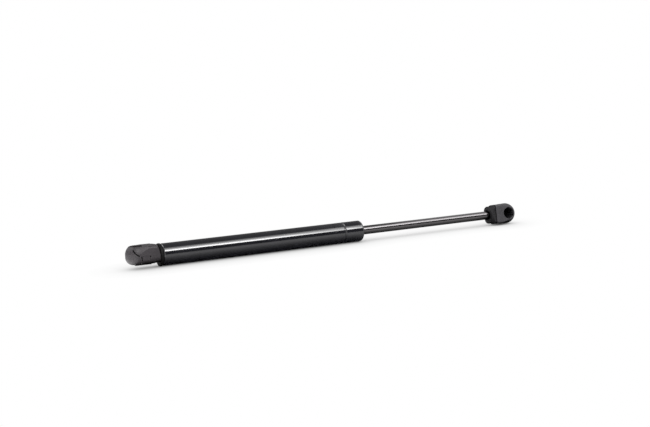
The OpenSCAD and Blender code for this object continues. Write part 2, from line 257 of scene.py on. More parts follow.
def blank_material(name: str) -> tuple[bpy.types.Material, Sheet]:
    """Opens a material with an empty node tree.

    Args:
        name: Name of the material.

    Returns:
        The material and its sheet.
    """
    material = bpy.data.materials.new(name)
    material.use_nodes = True
    material.node_tree.nodes.clear()
    return material, Sheet(material.node_tree)


def toned(colour: Colour, factor: float) -> Colour:
    """Makes a colour lighter or darker by a factor, with no part above 1."""
    return tuple(min(1.0, part * factor) for part in colour)


class EffectShelf:
    """Builds each shared node group once and places it in materials."""

    OCTAVES = 3.0
    RAYS = 6
    GRAIN_FALLOFF = 0.55
    GRAIN_PEAKS = (0.52, 0.68)
    MOTTLE_FALLOFF = 0.6
    MOTTLE_FINER = 7.3
    MOTTLE_SLOW = 0.7
    MOTTLE_FINE = 0.3
    MOTTLE_SPAN = (0.3, 0.7)
    EDGE_OPEN = (0.93, 0.55)
    EDGE_BREAKS = (0.35, 0.6)
    HOLLOW_OPEN = (0.8, 0.35)
    HOLLOW_BREAKS = (0.35, 0.65)
    LINE_STRETCH = (1.0, 0.012, 0.012)
    LINE_FALLOFF = 0.6
    LINE_BROADER = 0.09
    LINE_FINE = 0.55
    LINE_BROAD = 0.45
    LINE_SPAN = (0.35, 0.65)
    MARK_SETS = (
        ((0.05, 1.0, 1.0), (0.0, 0.1, 0.25), (0.655, 0.69)),
        ((0.08, 1.0, 1.0), (0.2, -0.3, -0.5), (0.665, 0.7)),
    )
    MARK_OCTAVES = 1.0
    MARK_AREA_SCALE = 45.0
    MARK_AREAS = (0.45, 0.62)

    def __init__(self) -> None:
        """Starts with no group built."""
        self.made: dict[Effect, bpy.types.NodeTree] = {}
        self.makers = {
            Effect.GRAIN: self.make_grain,
            Effect.MOTTLE: self.make_mottle,
            Effect.EDGE_WEAR: self.make_edge_wear,
            Effect.CREVICE: self.make_crevice,
            Effect.TURNING: self.make_turning,
            Effect.SCRATCHES: self.make_scratches,
        }

    def open_group(self, effect: Effect, inputs: Sequence[str],
                   outputs: Sequence[str]) -> tuple[Sheet, bpy.types.Node, bpy.types.Node]:
        """Starts a group with named float sockets.

        Args:
            effect: Which group it is.
            inputs: Input names.
            outputs: Output names.

        Returns:
            The sheet to draw on, the group's input node and its output node.
        """
        tree = bpy.data.node_groups.new(effect.value, "ShaderNodeTree")
        for way, names in (("INPUT", inputs), ("OUTPUT", outputs)):
            for name in names:
                tree.interface.new_socket(name, in_out=way, socket_type="NodeSocketFloat")
        sheet = Sheet(tree)
        self.made[effect] = tree
        return sheet, sheet.add("NodeGroupInput"), sheet.add("NodeGroupOutput")

    def make_grain(self) -> None:
        """Moulded or sprayed grain: one noise and a mask of its peaks."""
        sheet, source, result = self.open_group(Effect.GRAIN, ("Scale",), ("Height", "Peaks"))
        fine = sheet.noise(sheet.place(), source.outputs["Scale"], self.OCTAVES, self.GRAIN_FALLOFF)
        sheet.feed(fine, result.inputs["Height"])
        sheet.feed(sheet.span(fine, *self.GRAIN_PEAKS), result.inputs["Peaks"])

    def make_mottle(self) -> None:
        """Slow unevenness: large soft noise broken by a smaller one, from 0 to 1."""
        sheet, source, result = self.open_group(Effect.MOTTLE, ("Scale",), ("Value",))
        place = sheet.place()
        scale = source.outputs["Scale"]
        slow = sheet.noise(place, scale, self.OCTAVES, self.MOTTLE_FALLOFF)
        fine = sheet.noise(place, sheet.times(scale, self.MOTTLE_FINER))
        both = sheet.math("ADD", sheet.times(slow, self.MOTTLE_SLOW),
                          sheet.times(fine, self.MOTTLE_FINE))
        sheet.feed(sheet.span(both, *self.MOTTLE_SPAN), result.inputs["Value"])

    def make_edge_wear(self) -> None:
        """Rubbed edges: rays inside the solid that soon meet a face mark one, broken by noise."""
        sheet, source, result = self.open_group(Effect.EDGE_WEAR, ("Width", "Breakup"), ("Mask",))
        inside = sheet.add("ShaderNodeAmbientOcclusion", inside=True, only_local=True,
                           samples=self.RAYS)
        sheet.feed(source.outputs["Width"], inside.inputs["Distance"])
        edge = sheet.span(inside.outputs["AO"], *self.EDGE_OPEN)
        speckle = sheet.noise(sheet.place(), source.outputs["Breakup"], self.OCTAVES)
        sheet.feed(sheet.times(edge, sheet.span(speckle, *self.EDGE_BREAKS)), result.inputs["Mask"])

    def make_crevice(self) -> None:
        """Shade in hollows: rays outside the solid that soon meet a face mark one, broken by noise."""
        sheet, source, result = self.open_group(
            Effect.CREVICE, ("Reach", "Breakup", "Patchy"), ("Mask",))
        outside = sheet.add("ShaderNodeAmbientOcclusion", samples=self.RAYS)
        sheet.feed(source.outputs["Reach"], outside.inputs["Distance"])
        corner = sheet.span(outside.outputs["AO"], *self.HOLLOW_OPEN)
        speckle = sheet.noise(sheet.place(), source.outputs["Breakup"], self.OCTAVES)
        breaks = sheet.span(speckle, *self.HOLLOW_BREAKS)
        loss = sheet.times(sheet.math("SUBTRACT", 1.0, breaks), source.outputs["Patchy"])
        sheet.feed(sheet.times(corner, sheet.math("SUBTRACT", 1.0, loss)), result.inputs["Mask"])

    def make_turning(self) -> None:
        """Lines round the strut axis from turning or grinding: noise that is quick along X alone."""
        sheet, source, result = self.open_group(Effect.TURNING, ("Scale",), ("Height", "Streaks"))
        along = sheet.stretched(sheet.place(), self.LINE_STRETCH)
        fine = sheet.noise(along, source.outputs["Scale"], roughness=self.LINE_FALLOFF)
        broad = sheet.noise(along, sheet.times(source.outputs["Scale"], self.LINE_BROADER))
        sheet.feed(fine, result.inputs["Height"])
        both = sheet.math("ADD", sheet.times(fine, self.LINE_FINE),
                          sheet.times(broad, self.LINE_BROAD))
        sheet.feed(sheet.span(both, *self.LINE_SPAN), result.inputs["Streaks"])

    def make_scratches(self) -> None:
        """Fine handling marks: two crossed sets of long thin ridges, thinned out by a slow noise."""
        sheet, source, result = self.open_group(Effect.SCRATCHES, ("Scale", "Amount"), ("Mask",))
        place = sheet.place()
        ridges = []
        for stretch, turn, tops in self.MARK_SETS:
            along = sheet.stretched(place, stretch, turn)
            lines = sheet.noise(along, source.outputs["Scale"], self.MARK_OCTAVES)
            ridges.append(sheet.span(lines, *tops))
        areas = sheet.span(sheet.noise(place, self.MARK_AREA_SCALE), *self.MARK_AREAS)
        marks = sheet.times(sheet.math("MAXIMUM", *ridges), areas)
        sheet.feed(sheet.times(marks, source.outputs["Amount"]), result.inputs["Mask"])

    def put(self, sheet: Sheet, effect: Effect, **values: float) -> bpy.types.NodeOutputs:
        """Places a group in a material.

        Args:
            sheet: The material's sheet.
            effect: Which group to place.
            values: Input values by name.

        Returns:
            The placed group's outputs.
        """
        if effect not in self.made:
            self.makers[effect]()
        node = sheet.add("ShaderNodeGroup", node_tree=self.made[effect])
        for name, value in values.items():
            node.inputs[name].default_value = value
        return node.outputs


@dataclass(frozen=True)
class Finish:
    """One surface finish; a subclass adds the nodes of its kind."""

    name: str
    colour: Colour
    roughness: float

    def make(self, shelf: EffectShelf) -> bpy.types.Material:
        """Builds the material: a Principled shader fed by the nodes of its kind.

        Args:
            shelf: The shared effects.

        Returns:
            The finished material.
        """
        material, sheet = blank_material(self.name)
        shader = sheet.add("ShaderNodeBsdfPrincipled")
        sheet.show(shader.outputs[0])
        material.diffuse_color = (*self.colour, 1.0)
        self.draw(shelf, sheet, shader)
        return material

    def uneven(self, sheet: Sheet, mask: object, spread: Span) -> bpy.types.NodeSocket:
        """Lets the roughness follow a mask, with its factors at 0 and at 1."""
        return sheet.span(mask, 0.0, 1.0, self.roughness * spread[0], self.roughness * spread[1])

    def raise_height(self, sheet: Sheet, shader: bpy.types.Node, height: object,
                     depth: float) -> None:
        """Feeds a height through a Bump node to the shader's Normal.

        Args:
            sheet: The material's sheet.
            shader: The Principled node.
            height: Height from 0 to 1.
            depth: Depth in metres that 1 stands for.
        """
        bump = sheet.add("ShaderNodeBump")
        bump.inputs["Strength"].default_value = 1.0
        bump.inputs["Distance"].default_value = depth
        sheet.feed(height, bump.inputs["Height"])
        sheet.feed(bump.outputs[0], shader.inputs["Normal"])

    def draw(self, shelf: EffectShelf, sheet: Sheet, shader: bpy.types.Node) -> None:
        """Draws the nodes of this kind and feeds them to the Principled node."""
        raise NotImplementedError


@dataclass(frozen=True)
class GlossPaint(Finish):
    """Baked gloss paint: faint peel, slow unevenness, rubbed edges and few fine scratches."""

    coat: float
    specular: float
    peel_scale: float
    peel_depth: float
    worn: Colour
    scratched: float
    mottle_scale: float = 70.0
    wear_width: float = 0.5 * MM
    wear_breakup: float = 1100.0
    mark_scale: float = 900.0
    tones: Span = (0.8, 1.2)
    rough_spread: Span = (0.8, 1.25)
    wear_shown: float = 0.6
    mark_shown: float = 0.25
    mark_rough: float = 0.2
    wear_rough: float = 0.15
    coat_roughness: float = 0.05
    coat_left: float = 0.4

    def draw(self, shelf: EffectShelf, sheet: Sheet, shader: bpy.types.Node) -> None:
        """Draws the paint.

        Args:
            shelf: The shared effects.
            sheet: The material's sheet.
            shader: Its Principled node.
        """
        grain = shelf.put(sheet, Effect.GRAIN, Scale=self.peel_scale)
        mottle = shelf.put(sheet, Effect.MOTTLE, Scale=self.mottle_scale)["Value"]
        wear = shelf.put(sheet, Effect.EDGE_WEAR, Width=self.wear_width,
                         Breakup=self.wear_breakup)["Mask"]
        marks = shelf.put(sheet, Effect.SCRATCHES, Scale=self.mark_scale,
                          Amount=self.scratched)["Mask"]
        base = sheet.blend(mottle, *(toned(self.colour, tone) for tone in self.tones))
        rubbed = sheet.blend(sheet.times(wear, self.wear_shown), base, self.worn)
        sheet.feed(sheet.blend(sheet.times(marks, self.mark_shown), rubbed, self.worn),
                   shader.inputs["Base Color"])
        rough = self.uneven(sheet, mottle, self.rough_spread)
        scuffed = sheet.math("ADD", rough, sheet.times(marks, self.mark_rough), clamp=True)
        sheet.feed(sheet.math("ADD", scuffed, sheet.times(wear, self.wear_rough), clamp=True),
                   shader.inputs["Roughness"])
        shader.inputs["Specular IOR Level"].default_value = self.specular
        if self.coat > 0.0:
            shader.inputs["Coat Roughness"].default_value = self.coat_roughness
            sheet.feed(sheet.span(wear, 0.0, 1.0, self.coat, self.coat * self.coat_left),
                       shader.inputs["Coat Weight"])
        self.raise_height(sheet, shader, grain["Height"], self.peel_depth)


@dataclass(frozen=True)
class MouldedPlastic(Finish):
    """Moulded plastic: fine grain, flow unevenness, paler edges that are rubbed wear and a painted
    sheen, and painted shade in corners and hollows.
    """

    grain_scale: float
    grain_depth: float
    # Paler colour of rubbed edges, also standing for a painted sheen on the rims.
    edge: Colour
    # Colour painted in as shade in corners and hollows.
    painted_shade: Colour
    specular: float = 0.5
    parting: Optional[Triple] = None
    # A hub below hub_end along X is painted darker, as painted shade.
    hub_end: Optional[float] = None
    hub_shade: float = 0.0
    # Share of the gloss that the painted shade takes away through Metallic.
    shade_gloss_loss: float = 0.0
    hub_fade: float = 0.1 * MM
    line_span: Span = (0.04 * MM, 0.11 * MM)
    line_height: float = 2.0
    mottle_scale: float = 130.0
    wear_width: float = 0.6 * MM
    wear_breakup: float = 1500.0
    # Reach, breakup and patchiness of the painted shade in corners, then of the deeper painted shade in
    # hollows.
    corner_shade_reach: float = 1.6 * MM
    corner_shade_breakup: float = 700.0
    corner_shade_patchy: float = 0.5
    hollow_reach: float = 9.0 * MM
    hollow_breakup: float = 300.0
    hollow_patchy: float = 0.15
    tones: Span = (0.85, 1.15)
    rough_spread: Span = (0.88, 1.12)
    peaks_shown: float = 0.08
    wear_shown: float = 0.45
    wear_rough: float = -0.08
    # How strongly the painted shade shows in corners and in hollows.
    corner_shade_shown: float = 0.7
    hollow_shown: float = 0.9

    def draw(self, shelf: EffectShelf, sheet: Sheet, shader: bpy.types.Node) -> None:
        """Draws the plastic, with a mould line and a hub painted darker as shade where they are given.

        Metallic takes gloss away where shade is painted in, since an export loses a linked specular
        level.

        Args:
            shelf: The shared effects.
            sheet: The material's sheet.
            shader: Its Principled node.
        """
        grain = shelf.put(sheet, Effect.GRAIN, Scale=self.grain_scale)
        mottle = shelf.put(sheet, Effect.MOTTLE, Scale=self.mottle_scale)["Value"]
        wear = shelf.put(sheet, Effect.EDGE_WEAR, Width=self.wear_width,
                         Breakup=self.wear_breakup)["Mask"]
        base = sheet.blend(mottle, *(toned(self.colour, tone) for tone in self.tones))
        specked = sheet.blend(sheet.times(grain["Peaks"], self.peaks_shown), base, self.edge)
        # Paler edges: partly rubbed wear, partly a painted sheen along the rims.
        rubbed = sheet.blend(sheet.times(wear, self.wear_shown), specked, self.edge)
        # Painted shade: corners, hollows and the hub darkened in the colour.
        shade = self.shade(sheet, shelf)
        sheet.feed(sheet.blend(shade, rubbed, self.painted_shade), shader.inputs["Base Color"])
        rough = self.uneven(sheet, mottle, self.rough_spread)
        sheet.feed(sheet.math("ADD", rough, sheet.times(wear, self.wear_rough), clamp=True),
                   shader.inputs["Roughness"])
        shader.inputs["Specular IOR Level"].default_value = self.specular
        # The painted shade also takes gloss away.
        if self.shade_gloss_loss > 0.0:
            sheet.feed(sheet.times(shade, self.shade_gloss_loss), shader.inputs["Metallic"])
        height = grain["Height"]
        if self.parting is not None:
            height = sheet.math("ADD", height, self.mould_line(sheet))
        self.raise_height(sheet, shader, height, self.grain_depth)

    def shade(self, sheet: Sheet, shelf: EffectShelf) -> bpy.types.NodeSocket:
        """Where the painted shade shows: in corners, in hollows and on the hub.

        Args:
            sheet: The material's sheet.
            shelf: The shared effects.

        Returns:
            The share of the painted shade colour.
        """
        # Painted shade in corners, and a deeper painted shade inside hollows such as the ball seat.
        painted_shade = shelf.put(sheet, Effect.CREVICE, Reach=self.corner_shade_reach, Breakup=self.corner_shade_breakup,
                          Patchy=self.corner_shade_patchy)["Mask"]
        hollow = shelf.put(sheet, Effect.CREVICE, Reach=self.hollow_reach, Breakup=self.hollow_breakup,
                           Patchy=self.hollow_patchy)["Mask"]
        shade = sheet.math("MAXIMUM", sheet.times(painted_shade, self.corner_shade_shown),
                           sheet.times(hollow, self.hollow_shown))
        # The hub's painted shade: darker where X is below hub_end.
        if self.hub_end is None:
            return shade
        axes = sheet.add("ShaderNodeSeparateXYZ")
        sheet.feed(sheet.place(), axes.inputs[0])
        hub = sheet.span(axes.outputs[0], self.hub_end - self.hub_fade, self.hub_end + self.hub_fade,
                         self.hub_shade, 0.0)
        return sheet.math("MAXIMUM", shade, hub)

    def mould_line(self, sheet: Sheet) -> bpy.types.NodeSocket:
        """A thin ridge close to the parting plane, which holds the strut axis.

        Args:
            sheet: The material's sheet.

        Returns:
            The ridge's height in units of the grain's depth.
        """
        node = sheet.add("ShaderNodeVectorMath", operation="DOT_PRODUCT")
        sheet.feed(sheet.place(), node.inputs[0])
        sheet.feed(self.parting, node.inputs[1])
        away = sheet.math("ABSOLUTE", node.outputs["Value"])
        return sheet.span(away, *self.line_span, self.line_height, 0.0)


@dataclass(frozen=True)
class LinedMetal(Finish):
    """Bare or plated metal with lines from turning, grinding or drawing."""

    line_scale: float
    line_depth: float
    streak: float
    tarnish: Colour
    mottle_scale: float = 110.0
    wear_width: float = 0.3 * MM
    wear_breakup: float = 1600.0
    mark_scale: float = 1100.0
    mark_amount: float = 0.7
    line_tone: float = 1.6
    wear_tone: float = 2.0
    wear_shown: float = 0.5
    rough_spread: Span = (0.85, 1.2)
    mark_rough: float = 0.15

    def draw(self, shelf: EffectShelf, sheet: Sheet, shader: bpy.types.Node) -> None:
        """Draws the metal.

        Args:
            shelf: The shared effects.
            sheet: The material's sheet.
            shader: Its Principled node.
        """
        lines = shelf.put(sheet, Effect.TURNING, Scale=self.line_scale)
        mottle = shelf.put(sheet, Effect.MOTTLE, Scale=self.mottle_scale)["Value"]
        wear = shelf.put(sheet, Effect.EDGE_WEAR, Width=self.wear_width,
                         Breakup=self.wear_breakup)["Mask"]
        marks = shelf.put(sheet, Effect.SCRATCHES, Scale=self.mark_scale,
                          Amount=self.mark_amount)["Mask"]
        base = sheet.blend(mottle, self.colour, self.tarnish)
        lined = sheet.blend(sheet.times(lines["Streaks"], self.streak), base,
                            toned(self.colour, self.line_tone))
        rubbed = sheet.blend(sheet.times(wear, self.wear_shown), lined,
                             toned(self.colour, self.wear_tone))
        sheet.feed(rubbed, shader.inputs["Base Color"])
        shader.inputs["Metallic"].default_value = 1.0
        rough = self.uneven(sheet, lines["Streaks"], self.rough_spread)
        sheet.feed(sheet.math("ADD", rough, sheet.times(marks, self.mark_rough), clamp=True),
                   shader.inputs["Roughness"])
        self.raise_height(sheet, shader, lines["Height"], self.line_depth)


@dataclass(frozen=True)
class MattRubber(Finish):
    """Matt rubber: fine grain, a pale bloom in patches and worn edges."""

    bloom: Colour
    grain_depth: float
    grain_scale: float = 6500.0
    mottle_scale: float = 240.0
    wear_width: float = 0.3 * MM
    wear_breakup: float = 1500.0
    bloom_shown: float = 0.35
    wear_shown: float = 0.4
    rough_spread: Span = (0.9, 1.15)
    specular: float = 0.35

    def draw(self, shelf: EffectShelf, sheet: Sheet, shader: bpy.types.Node) -> None:
        """Draws the rubber.

        Args:
            shelf: The shared effects.
            sheet: The material's sheet.
            shader: Its Principled node.
        """
        grain = shelf.put(sheet, Effect.GRAIN, Scale=self.grain_scale)
        mottle = shelf.put(sheet, Effect.MOTTLE, Scale=self.mottle_scale)["Value"]
        wear = shelf.put(sheet, Effect.EDGE_WEAR, Width=self.wear_width,
                         Breakup=self.wear_breakup)["Mask"]
        bloomed = sheet.blend(sheet.times(mottle, self.bloom_shown), self.colour, self.bloom)
        sheet.feed(sheet.blend(sheet.times(wear, self.wear_shown), bloomed, self.bloom),
                   shader.inputs["Base Color"])
        sheet.feed(self.uneven(sheet, mottle, self.rough_spread), shader.inputs["Roughness"])
        shader.inputs["Specular IOR Level"].default_value = self.specular
        self.raise_height(sheet, shader, grain["Height"], self.grain_depth)


@dataclass(frozen=True)
class SinteredBronze(Finish):
    """Sintered bronze: pores between grains of metal and an uneven oily tone."""

    pore: Colour
    pore_depth: float
    grain_scale: float = 9000.0
    mottle_scale: float = 300.0
    dark_tone: float = 0.7
    pore_span: Span = (0.44, 0.34)
    pore_metal: float = 0.55
    rough_spread: Span = (0.85, 1.2)

    def draw(self, shelf: EffectShelf, sheet: Sheet, shader: bpy.types.Node) -> None:
        """Draws the bronze.

        Args:
            shelf: The shared effects.
            sheet: The material's sheet.
            shader: Its Principled node.
        """
        grain = shelf.put(sheet, Effect.GRAIN, Scale=self.grain_scale)
        mottle = shelf.put(sheet, Effect.MOTTLE, Scale=self.mottle_scale)["Value"]
        base = sheet.blend(mottle, self.colour, toned(self.colour, self.dark_tone))
        pores = sheet.span(grain["Height"], *self.pore_span)
        sheet.feed(sheet.blend(pores, base, self.pore), shader.inputs["Base Color"])
        sheet.feed(sheet.span(pores, 0.0, 1.0, 1.0, self.pore_metal), shader.inputs["Metallic"])
        sheet.feed(self.uneven(sheet, mottle, self.rough_spread), shader.inputs["Roughness"])
        self.raise_height(sheet, shader, grain["Height"], self.pore_depth)


def turned_skin(outline: np.ndarray, sides: int) -> tuple[np.ndarray, np.ndarray]:
    """Turns a closed outline about the strut axis.

    Point (i, j) is (x_i, r_i cos(a_j), r_i sin(a_j)) with a_j = 2 pi j / sides. Both ways wrap round.

    Args:
        outline: Rows of x and radius, clockwise seen with x to the right and radius up.
        sides: Steps round the axis.

    Returns:
        Vertices and quads.
    """
    rows = len(outline)
    angle = TAU * np.arange(sides) / sides
    spot = np.empty((rows, sides, 3))
    spot[..., 0] = outline[:, :1]
    spot[..., 1] = outline[:, 1:] * np.cos(angle)
    spot[..., 2] = outline[:, 1:] * np.sin(angle)
    row, side = np.meshgrid(np.arange(rows), np.arange(sides), indexing="ij")
    next_row = (row + 1) % rows
    next_side = (side + 1) % sides
    quads = np.stack([row * sides + side, row * sides + next_side,
                      next_row * sides + next_side, next_row * sides + side], axis=-1)
    return spot.reshape(-1, 3), quads.reshape(-1, 4)


def capped_skin(along: np.ndarray, radius: np.ndarray) -> tuple[np.ndarray, np.ndarray, np.ndarray]:
    """Closes a grid of radii about the strut axis with a pole at each end.

    Point (i, j) is (x_i, R_ij cos(a_j), R_ij sin(a_j)). The poles are at the first and last x.

    Args:
        along: Distances x along the axis.
        radius: Radii, a row for each distance and a column for each step round the axis.

    Returns:
        Vertices, quads of the wall and triangles of the two ends.
    """
    rows, sides = radius.shape
    angle = TAU * np.arange(sides) / sides
    wall = np.empty((rows, sides, 3))
    wall[..., 0] = along[:, None]
    wall[..., 1] = radius * np.cos(angle)
    wall[..., 2] = radius * np.sin(angle)
    poles = np.array([[along[0], 0.0, 0.0], [along[-1], 0.0, 0.0]])
    row, side = np.meshgrid(np.arange(rows - 1), np.arange(sides), indexing="ij")
    next_side = (side + 1) % sides
    quads = np.stack([row * sides + side, row * sides + next_side,
                      (row + 1) * sides + next_side, (row + 1) * sides + side], axis=-1)
    ring = np.arange(sides)
    after = (ring + 1) % sides
    last = (rows - 1) * sides
    low_end = np.stack([np.full(sides, rows * sides), after, ring], axis=-1)
    high_end = np.stack([np.full(sides, rows * sides + 1), last + ring, last + after], axis=-1)
    points = np.concatenate([wall.reshape(-1, 3), poles])
    return points, quads.reshape(-1, 4), np.concatenate([low_end, high_end])


def thread_cut(along: np.ndarray, sides: int, pitch: float, depth: float, start: float,
               end: float) -> np.ndarray:
    """Depth of a thread over a grid: a ridge that climbs one pitch a turn.

    The phase is x / pitch - a / 2 pi. The cut is a triangle wave of it, clipped to a flat crest and
    root by CREST_FLAT and FLANK_SHARE, and faded in over THREAD_FADE pitches at both ends.

    Args:
        along: Distances x along the axis.
        sides: Steps round the axis.
        pitch: Climb of one turn.
        depth: Depth of the groove.
        start: Where the thread starts.
        end: Where it ends.

    Returns:
        Cut depth for each grid point.
    """
    angle = np.arange(sides) / sides
    phase = along[:, None] / pitch - angle[None, :]
    wave = np.abs(2.0 * (phase - np.floor(phase)) - 1.0)
    cut = np.clip((wave - CREST_FLAT) / FLANK_SHARE, 0.0, 1.0)
    fade = np.clip(np.minimum(along - start, end - along) / (THREAD_FADE * pitch), 0.0, 1.0)
    return depth * cut * fade[:, None]


def arc(centre: Sequence[float], radius: float, start: float, end: float, steps: int) -> np.ndarray:
    """Points on a circle: centre + radius (cos t, sin t), with t even between two angles.

    Args:
        centre: Centre in x and radius.
        radius: Radius of the circle.
        start: First angle in degrees.
        end: Last angle in degrees.
        steps: Number of points.

    Returns:
        Rows of x and radius.
    """
    turn = np.radians(np.linspace(start, end, steps))
    return np.asarray(centre) + radius * np.stack([np.cos(turn), np.sin(turn)], axis=-1)


def put_mesh(name: str, points: np.ndarray, *faces: np.ndarray) -> bpy.types.Object:
    """Makes a smooth-shaded mesh object at the origin.

    Args:
        name: Name of the piece.
        points: Vertex positions in metres.
        faces: Arrays of quads and triangles.

    Returns:
        The linked object.
    """
    mesh = bpy.data.meshes.new(name)
    mesh.from_pydata(points.tolist(), [], [face for group in faces for face in group.tolist()])
    mesh.polygons.foreach_set("use_smooth", np.ones(len(mesh.polygons), bool))
    mesh.set_sharp_from_angle(angle=math.radians(SMOOTH_DEGREES))
    mesh.update()
    piece = bpy.data.objects.new(name, mesh)
    bpy.context.scene.collection.objects.link(piece)
    return piece


def place_piece(piece: bpy.types.Object, body: Body, material: bpy.types.Material,
                node: str) -> None:
    """Dresses a new piece and lets it stand for its CAD node.

    Args:
        piece: The new piece.
        body: Body that it rides on.
        material: Its finish.
        node: CAD node that it replaces.
    """
    piece.data.materials.append(material)
    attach(piece, body.value)
    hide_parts(node)
    LOG.info("%s: %d faces", piece.name, len(piece.data.polygons))


@dataclass
class PressureTube:
    """Steel tube with a rolled shoulder at each end and a rolled groove over the seal pack."""

    sides: int = 192
    wall: float = 1.2 * MM
    lip: float = 1.8 * MM
    base_shoulder: float = 1.9 * MM
    rod_shoulder: float = 2.4 * MM
    base_mouth: float = 6.6 * MM
    rod_mouth: float = 5.0 * MM
    edge: float = 0.25 * MM
    groove_back: float = 19.2 * MM
    groove_depth: float = 0.7 * MM
    groove_half: float = 1.15 * MM
    groove_steps: int = 41
    edge_steps: int = 6
    shoulder_steps: int = 18

    def outline(self) -> np.ndarray:
        """Closed outline of the wall: outside from base to rod end, then the bore back.

        The groove is a raised cosine of its half width, pressed in on both sides of the wall.

        Returns:
            Rows of x and radius.
        """
        low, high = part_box("pressure_tube")
        start, end, radius = low.x, high.x, high.z
        bore = radius - self.wall
        centre = end - self.groove_back
        reach = np.linspace(-1.0, 1.0, self.groove_steps)
        dip = self.groove_depth * 0.5 * (1.0 + np.cos(math.pi * reach))
        run = centre + reach * self.groove_half
        base_arc, rod_arc = self.base_shoulder, self.rod_shoulder
        parts = [
            arc((start + self.edge, self.base_mouth + self.edge), self.edge, 270, 180, self.edge_steps),
            arc((start + base_arc, radius - base_arc), base_arc, 180, 90, self.shoulder_steps),
            np.stack([run, radius - dip], axis=-1),
            arc((end - rod_arc, radius - rod_arc), rod_arc, 90, 0, self.shoulder_steps),
            arc((end - self.edge, self.rod_mouth + self.edge), self.edge, 0, -90, self.edge_steps),
            np.array([[end - self.lip, self.rod_mouth], [end - self.lip, bore]]),
            np.stack([run, bore - dip], axis=-1)[::-1],
            np.array([[start + self.lip, bore], [start + self.lip, self.base_mouth]]),
        ]
        return np.concatenate(parts)

    def build(self, material: bpy.types.Material) -> None:
        """Builds the tube in its paint and lets it stand for its CAD node."""
        piece = put_mesh("tube_skin", *turned_skin(self.outline(), self.sides))
        place_piece(piece, Body.CYLINDER, material, "pressure_tube")


@dataclass
class PistonRod:
    """Ground rod, threaded where the socket screws on and where the piston nut sits."""

    sides: int = 128
    seat: float = 2.5 * MM
    shoulder: float = 187.354 * MM
    chamfer: float = 0.6 * MM
    edge: float = 0.15 * MM
    pitch: float = 1.25 * MM
    thread_depth: float = 0.55 * MM
    nut_pitch: float = 0.8 * MM
    nut_thread_depth: float = 0.4 * MM
    nut_thread: float = 3.0 * MM
    hidden: float = 2.4 * MM
    step: float = 0.05 * MM
    plain_steps: int = 24

    def build(self, material: bpy.types.Material) -> None:
        """Builds the rod and lets it stand for its CAD node.

        The radius is the seat's before the shoulder and the rod's after it, less a chamfer at both ends
        and the two threads' cuts.

        Args:
            material: The ground steel.
        """
        low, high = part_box("piston_rod")
        start, end, radius = low.x, high.x, high.z
        thread_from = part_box("rod_socket")[0].x + self.hidden
        along = np.unique(np.concatenate([
            np.arange(start, start + self.nut_thread + self.pitch, self.step),
            np.array([self.shoulder - self.step, self.shoulder, self.shoulder + self.edge]),
            np.linspace(self.shoulder + self.edge, thread_from, self.plain_steps),
            np.arange(thread_from, end, self.step),
            np.array([end]),
        ]))
        size = np.where(along < self.shoulder, self.seat, radius)
        inset = np.maximum(self.chamfer - (along - start), self.chamfer - (end - along))
        broken = np.where(np.abs(along - self.shoulder) < 0.5 * self.step, self.edge, 0.0)
        plain = size - np.maximum(np.maximum(inset, 0.0), broken)
        cut = thread_cut(along, self.sides, self.pitch, self.thread_depth, thread_from,
                         end + self.pitch)
        nut_cut = thread_cut(along, self.sides, self.nut_pitch, self.nut_thread_depth,
                             start - self.pitch, start + self.nut_thread)
        piece = put_mesh("rod_skin", *capped_skin(along, plain[:, None] - cut - nut_cut))
        place_piece(piece, Body.ROD, material, "piston_rod")


@dataclass
class BaseStud:
    """Threaded stud between the base plug and its socket."""

    sides: int = 96
    chamfer: float = 0.6 * MM
    pitch: float = 1.25 * MM
    depth: float = 0.55 * MM
    step: float = 0.05 * MM

    def build(self, material: bpy.types.Material) -> None:
        """Builds the stud as one thread from end to end, with a chamfer at both.

        Args:
            material: The plated steel.
        """
        low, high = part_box("base_stud")
        along = np.append(np.arange(low.x, high.x, self.step), high.x)
        inset = np.maximum(self.chamfer - (along - low.x), self.chamfer - (high.x - along))
        plain = -low.z - np.maximum(inset, 0.0)
        cut = thread_cut(along, self.sides, self.pitch, self.depth, low.x - self.pitch,
                         high.x + self.pitch)
        piece = put_mesh("stud_thread", *capped_skin(along, plain[:, None] - cut))
        place_piece(piece, Body.CYLINDER, material, "base_stud")


class FrameDress:
    """CAD nodes whose shape is right: they keep their mesh and get their finish."""

    def dress(self, finishes: dict[str, bpy.types.Material],
              special: dict[str, bpy.types.Material]) -> None:
        """Puts a material on every node.

        Args:
            finishes: Material for each slot of the record.
            special: Material for a node that has its own.
        """
        for part in frame["record"]["subparts"]:
            name = part["node"]
            node = frame["nodes"][name]
            node.material_slots[0].material = special.get(name, finishes[part["material_slot"]])
            LOG.info("%s: %s", name, node.material_slots[0].material.name)


